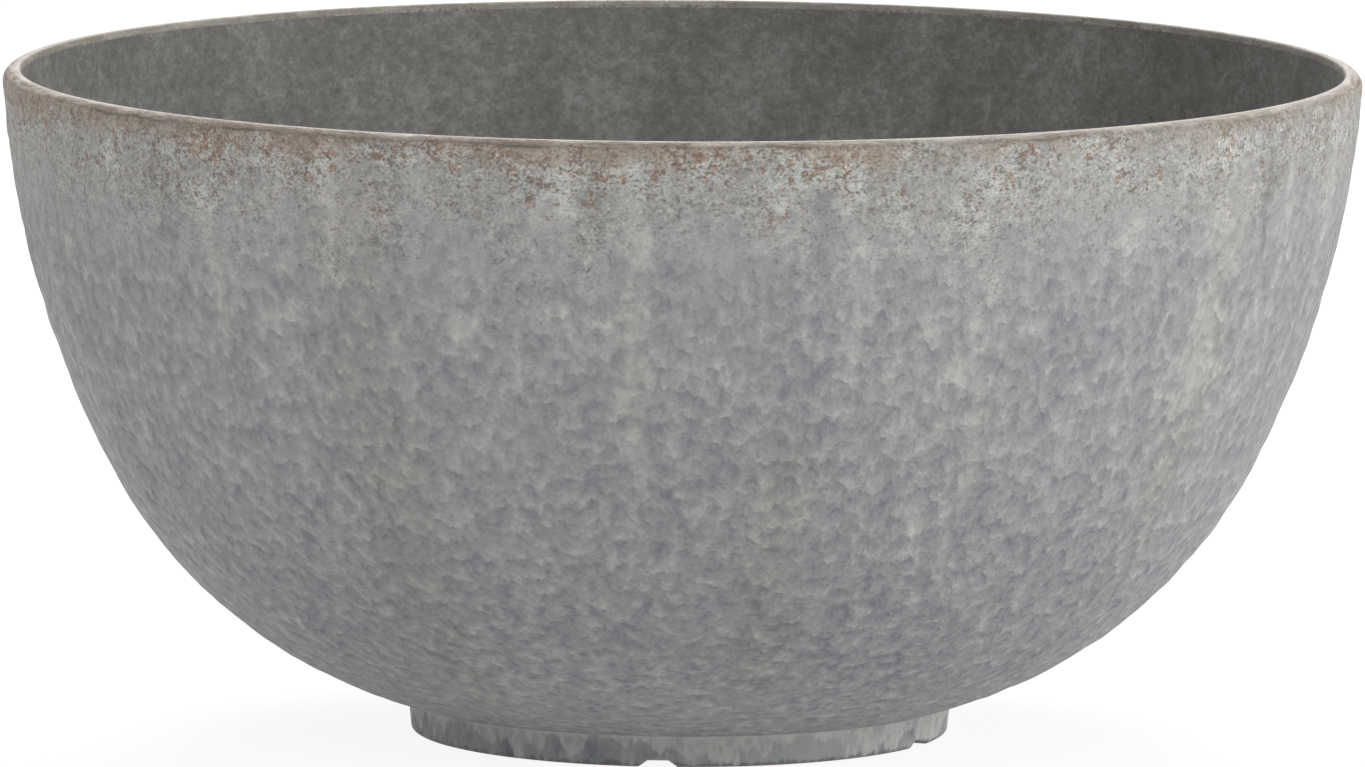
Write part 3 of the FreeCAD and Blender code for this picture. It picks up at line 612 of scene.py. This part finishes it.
# %% Material: foot
foot_wash, tree, shader = new_material("foot_wash")
place = stored(tree, "flow", "Vector")
rise = put(tree, "ShaderNodeSeparateXYZ", {0: put(tree, "ShaderNodeTexCoord").outputs["Object"]}).outputs["Z"]
tongues = cloud(tree, stretch(tree, place, 1.0, 0.15), 62.0, 1.5, 0.5, 0.3)
shade = cloud(tree, place, 60.0, 4.0, 0.6)
broad = cloud(tree, stretch(tree, place, 1.0, 0.15), 14.0, 1.0)
streak = cloud(tree, stretch(tree, place, 1.0, 0.3), 230.0, 3.0, 0.55)
mottle = cloud(tree, place, 260.0, 3.0, 0.6)
colour = blend(tree, ease(tree, shade, 0.38, 0.62), tone(120, 120, 127), tone(150, 150, 150))
colour = blend(tree, ease(tree, mottle, 0.4, 0.7, 0.0, 0.6), colour, tone(158, 158, 156))
tongue = add(tree, rise, swing(tree, tongues, 0.024), swing(tree, mottle, 0.004), swing(tree, broad, 0.014))
tongue_tone = blend(tree, ease(tree, mottle, 0.35, 0.65), tone(158, 158, 155), tone(186, 186, 182))
colour = blend(tree, ease(tree, tongue, 0.0036, 0.0048, 0.0, 0.65), colour, tongue_tone)
ledge = ease(tree, add(tree, rise, swing(tree, streak, 0.003)), 0.006, 0.0072)
ledge = times(tree, ledge, ease(tree, shade, 0.42, 0.6, 0.1, 0.6))
colour = blend(tree, ledge, colour, tone(170, 170, 167))
# Painted shade: a dark, broken band along the lowest millimetre of the foot.
hem = add(tree, rise, swing(tree, mottle, 0.004))
colour = blend(tree, ease(tree, hem, 0.0003, 0.0014, 0.7, 0.0), colour, tone(84, 81, 80))
tree.links.new(colour, shader.inputs["Base Color"])
grain = use(tree, fine_grain, {"Vector": place, "Scale": 1500.0})["Value"]
relief = add(tree, times(tree, mottle, 0.8), times(tree, grain, 0.4))
feel(tree, shader, ease(tree, grain, 0.0, 1.0, 0.65, 0.85), relief, 0.35, 0.00012)
print("foot finish ready")

# %% [markdown]
# ## The inner wall
# Inside, the bowl is smoother and darker, with soft upright streaks, cloudy blotches and small pale wisps
# left by the mould. The same flow place is used, because it also runs down from the lip on this side.

# %% Material: inner wall
inner_wash, tree, shader = new_material("inner_wash")
place = stored(tree, "flow", "Vector")
streak = cloud(tree, stretch(tree, place, 1.0, 0.2), 55.0, 3.0, 0.55)
blotch = cloud(tree, place, 70.0, 6.0, 0.7)
crumbs = cloud(tree, place, 420.0, 3.0, 0.65)
wisps = cloud(tree, stretch(tree, place, 1.0, 0.6), 190.0, 4.0, 0.65, 0.6)
wisps = times(tree, ease(tree, wisps, 0.57, 0.7, 0.0, 0.8), ease(tree, blotch, 0.42, 0.58, 0.3, 1.0))
speckle = use(tree, fine_flecks, {"Vector": place, "Scale": 1300.0, "Cover": 0.4})["Speckle"]
film = add(tree, 0.5, swing(tree, streak, 0.5), swing(tree, blotch, 1.0), swing(tree, crumbs, 1.0))
film = add(tree, film, times(tree, speckle, 1.4))
colour = ramp(tree, film, [tone(84, 82, 79), tone(113, 112, 109), tone(149, 149, 147)])
colour = blend(tree, wisps, colour, tone(146, 146, 143))
tree.links.new(colour, shader.inputs["Base Color"])
grain = use(tree, fine_grain, {"Vector": place, "Scale": 1200.0})["Value"]
feel(tree, shader, ease(tree, grain, 0.0, 1.0, 0.6, 0.75), grain, 0.3, 0.0001)
print("inner wall finish ready")

# %% [markdown]
# ## The raw underside
# Under the foot nothing was washed. The composite shows as it left the mould, a plain warm grey with
# sandy grain and a few darker pits.

# %% Material: underside
raw_body, tree, shader = new_material("raw_composite")
place = put(tree, "ShaderNodeTexCoord").outputs["Object"]
mottle = cloud(tree, place, 120.0, 4.0, 0.6)
grain = use(tree, fine_grain, {"Vector": place, "Scale": 1100.0})["Value"]
pits = use(tree, fine_flecks, {"Vector": place, "Scale": 600.0, "Cover": 0.35})["Gaps"]
colour = blend(tree, ease(tree, mottle, 0.35, 0.65), tone(118, 115, 111), tone(138, 136, 132))
colour = blend(tree, times(tree, pits, 0.5), colour, tone(84, 81, 78))
tree.links.new(colour, shader.inputs["Base Color"])
feel(tree, shader, ease(tree, grain, 0.0, 1.0, 0.72, 0.9), calc(tree, "SUBTRACT", grain, pits), 0.6, 0.0002)
print("underside finish ready")

# %% Each finish on its zone
finishes = {"wall": wall_wash, "foot": foot_wash, "inside": inner_wash, "underside": raw_body}
for finish in finishes.values():
    bowl.data.materials.append(finish)
row_finish = np.array([list(finishes).index(name) for name in zone])
bowl.data.polygons.foreach_set("material_index", np.repeat(row_finish, COLUMNS).astype(np.int32))
print("finishes on the bowl:", [m.name for m in bowl.data.materials])

# %% [markdown]
# ## Moulded plastic and rubber
# The plate, its wick cups and the plug are injection moulded. New plastic is never quite plain: it has
# a fine spark texture, and in a planter it gathers pale lime and soil dust on what faces up. The seal is
# soft black rubber with a dull bloom. The solids from the frame are right as they are, so they only get
# materials.

# %% Materials: plastic and rubber
def moulded(name, body, dust, rough_low, rough_high, dust_cover, texture):
    """Moulded finish: body colour, spark texture, and pale dust where the surface faces up."""
    material, tree, shader = new_material(name)
    place = put(tree, "ShaderNodeTexCoord").outputs["Object"]
    facing_way = put(tree, "ShaderNodeNewGeometry").outputs["Normal"]
    up = put(tree, "ShaderNodeSeparateXYZ", {0: facing_way}).outputs["Z"]
    grain = use(tree, fine_grain, {"Vector": place, "Scale": texture})["Value"]
    film = cloud(tree, place, 90.0, 5.0, 0.65)
    film = times(tree, ease(tree, film, 0.4, 0.7, 0.1, 1.0), ease(tree, up, 0.2, 0.9, 0.15, dust_cover))
    colour = blend(tree, times(tree, grain, 0.35), body, tuple(1.5 * c for c in body[:3]) + (1.0,))
    tree.links.new(blend(tree, film, colour, dust), shader.inputs["Base Color"])
    rough = add(tree, ease(tree, grain, 0.0, 1.0, rough_low, rough_high), times(tree, film, 0.3))
    feel(tree, shader, rough, grain, 0.4, 0.00008)
    return material


insert_plastic = moulded("insert_plastic", tone(48, 49, 50), tone(122, 116, 106), 0.42, 0.58, 0.4, 1600.0)
plug_plastic = moulded("plug_plastic", tone(62, 63, 64), tone(122, 116, 106), 0.35, 0.5, 0.3, 1600.0)
seal_rubber = moulded("seal_rubber", tone(32, 32, 32), tone(92, 90, 87), 0.7, 0.85, 0.3, 1100.0)
wearing = {"drainage_plate": insert_plastic, "drain_plug": plug_plastic, "plug_seal": seal_rubber}
for name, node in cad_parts.items():
    if name == "bowl_shell":
        continue
    node.data.materials.clear()
    node.data.materials.append(wearing.get(name, insert_plastic))
print({name: node.data.materials[0].name for name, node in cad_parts.items() if name != "bowl_shell"})

# %% [markdown]
# ## Floor and light
# The photograph is a cut-out on white. A pale floor carries on behind the bowl far past the frame, so
# no horizon shows, and its whiteness for the camera comes from the Light Path node and not from more
# light. White paper lit for such a picture also throws much light up under the belly, so the floor
# glows a little by itself. Three soft lamps stand around: at the right, in front, and behind.

# %% White for the camera alone
def white_for_camera(tree):
    """1 where a ray from the camera, a reflection or a clear piece ends, and 0 for light that falls on things."""
    path = put(tree, "ShaderNodeLightPath").outputs
    seen = calc(tree, "MAXIMUM", path["Is Camera Ray"], path["Is Glossy Ray"])
    return calc(tree, "MAXIMUM", seen, path["Is Transmission Ray"])


print("white for the camera ready")

# %% Floor
FLOOR_SIZE, FLOOR_DROP = 20.0, 0.0003  # metres from the middle to a side, and below the foot
mesh = bpy.data.meshes.new("floor")
corners = FLOOR_SIZE * np.array([(-1, -1, 0), (1, -1, 0), (1, 1, 0), (-1, 1, 0)]) - np.array((0, 0, FLOOR_DROP))
mesh.from_pydata(corners.tolist(), [], [(0, 1, 2, 3)])
floor = bpy.data.objects.new("floor", mesh)
scene.collection.objects.link(floor)
paper, tree, shader = new_material("pale_floor")
shader.inputs["Base Color"].default_value = (0.8, 0.8, 0.8, 1.0)
shader.inputs["Roughness"].default_value = 0.9
shader.inputs["Emission Color"].default_value = (1.0, 1.0, 1.0, 1.0)
shader.inputs["Emission Strength"].default_value = 0.34
white = put(tree, "ShaderNodeEmission", {"Color": (1.0, 1.0, 1.0, 1.0), "Strength": 1.0})
share = times(tree, white_for_camera(tree), 0.85)
mixed = put(tree, "ShaderNodeMixShader", {0: share, 1: shader.outputs[0], 2: white.outputs[0]})
tree.links.new(mixed.outputs[0], tree.nodes["Material Output"].inputs["Surface"])
floor.data.materials.append(paper)
print("floor", FLOOR_SIZE * 2, "m across")

# %% Backdrop
SKY_LIGHT = 0.3
world = bpy.data.worlds.new("studio")
world.use_nodes = True
scene.world = world
sky = world.node_tree.nodes["Background"]
sky.inputs["Color"].default_value = (1.0, 1.0, 1.0, 1.0)
sky_level = ease(world.node_tree, white_for_camera(world.node_tree), 0.0, 1.0, SKY_LIGHT, 1.0)
world.node_tree.links.new(sky_level, sky.inputs["Strength"])
print("sky at", SKY_LIGHT, "for light and 1.0 for the camera")

# %% Lamps
AIM = np.array([0.0, 0.0, 0.08])
LAMP_SIZE, LAMP_AWAY = 1.3, 2.6


def soft_lamp(name, turn, rise, power):
    """Square area lamp at turn degrees round the bowl and rise degrees up, shining at its middle."""
    turn, rise = math.radians(turn), math.radians(rise)
    way = np.array([math.cos(rise) * math.cos(turn), math.cos(rise) * math.sin(turn), math.sin(rise)])
    lamp = bpy.data.lights.new(name, "AREA")
    lamp.size = LAMP_SIZE
    lamp.energy = power
    piece = bpy.data.objects.new(name, lamp)
    piece.location = AIM + LAMP_AWAY * way
    piece.rotation_euler = (math.pi / 2 - rise, 0.0, turn + math.pi / 2)
    scene.collection.objects.link(piece)
    return piece


lamps = [soft_lamp("lamp_right", 350, 15, 32.0), soft_lamp("lamp_front", 270, 40, 23.0),
         soft_lamp("lamp_behind", 90, 45, 70.0)]
print("lamps:", {lamp.name: lamp.data.energy for lamp in lamps})

# %% [markdown]
# ## Camera
# The picture's perspective is very flat: the front and the back of the lip are nearly the same ellipse.
# So the camera stands far off with a long lens. Its place, pitch and roll were fitted to the outline of
# the bowl, and the lens is worked out from the focal length in pixels.

# %% Camera at the photograph's angle
IMAGE_WIDTH = 1365.0
FOCAL_PIXELS = 15748.0
camera_data = bpy.data.cameras.new("camera")
camera_data.sensor_width = 36.0
camera_data.lens = FOCAL_PIXELS / IMAGE_WIDTH * camera_data.sensor_width
camera_data.clip_end = 60.0
camera = bpy.data.objects.new("camera", camera_data)
CAMERA_SIDE, CAMERA_BACK, CAMERA_UP = 0.000332, 3.5692, 0.5331
PITCH, ROLL = 7.2434, 0.2923
camera.location = (CAMERA_SIDE, -CAMERA_BACK, CAMERA_UP)
camera.rotation_mode = "ZXY"
camera.rotation_euler = (math.radians(90.0 - PITCH), 0.0, math.radians(ROLL))
scene.collection.objects.link(camera)
scene.camera = camera
scene.view_settings.view_transform = "Standard"
print("camera lens", round(camera_data.lens, 1), "mm")
